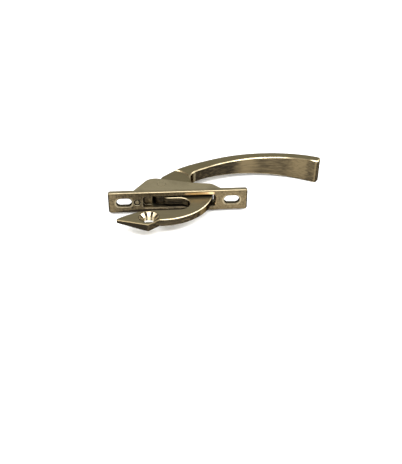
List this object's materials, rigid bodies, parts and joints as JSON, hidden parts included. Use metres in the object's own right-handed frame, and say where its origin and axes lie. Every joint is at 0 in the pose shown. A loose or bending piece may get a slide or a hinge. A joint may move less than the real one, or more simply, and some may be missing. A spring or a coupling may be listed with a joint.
{
  "type": "casement window handle",
  "caption": "Antique brass casement window latch: slotted plate with a pivot housing, a hook that draws the sash shut and a long curved lever turning with it.",
  "frame": {"origin": "centre of the two screw slots, on the face of the plate that sits on the window frame", "axes": "+X along the plate towards the free end of the lever, +Y to the room side, +Z along the pivot, up as it lies on its flat side"},
  "size_m": [0.126, 0.0687, 0.0152],
  "materials": {
    "body": "satin antique brass, worn bright on the edges",
    "lever": "satin antique brass, brushed on the grip",
    "pin": "brass pin, flush with the cheeks and finished over with them",
    "washer": "thin dark nylon thrust washer"
  },
  "bodies": {
    "mount": {"body": "body", "pivot_pin": "pin", "washer_top": "washer", "washer_bottom": "washer"},
    "handle": {"lever_hook": "lever"}
  },
  "joints": [
    {"name": "lever_pivot", "type": "hinge", "parent": "mount", "child": "handle", "pos_m": [-0.009, 0.0085, 0], "axis": [0, 0, 1], "range_deg": [0, 75]}
  ]
}
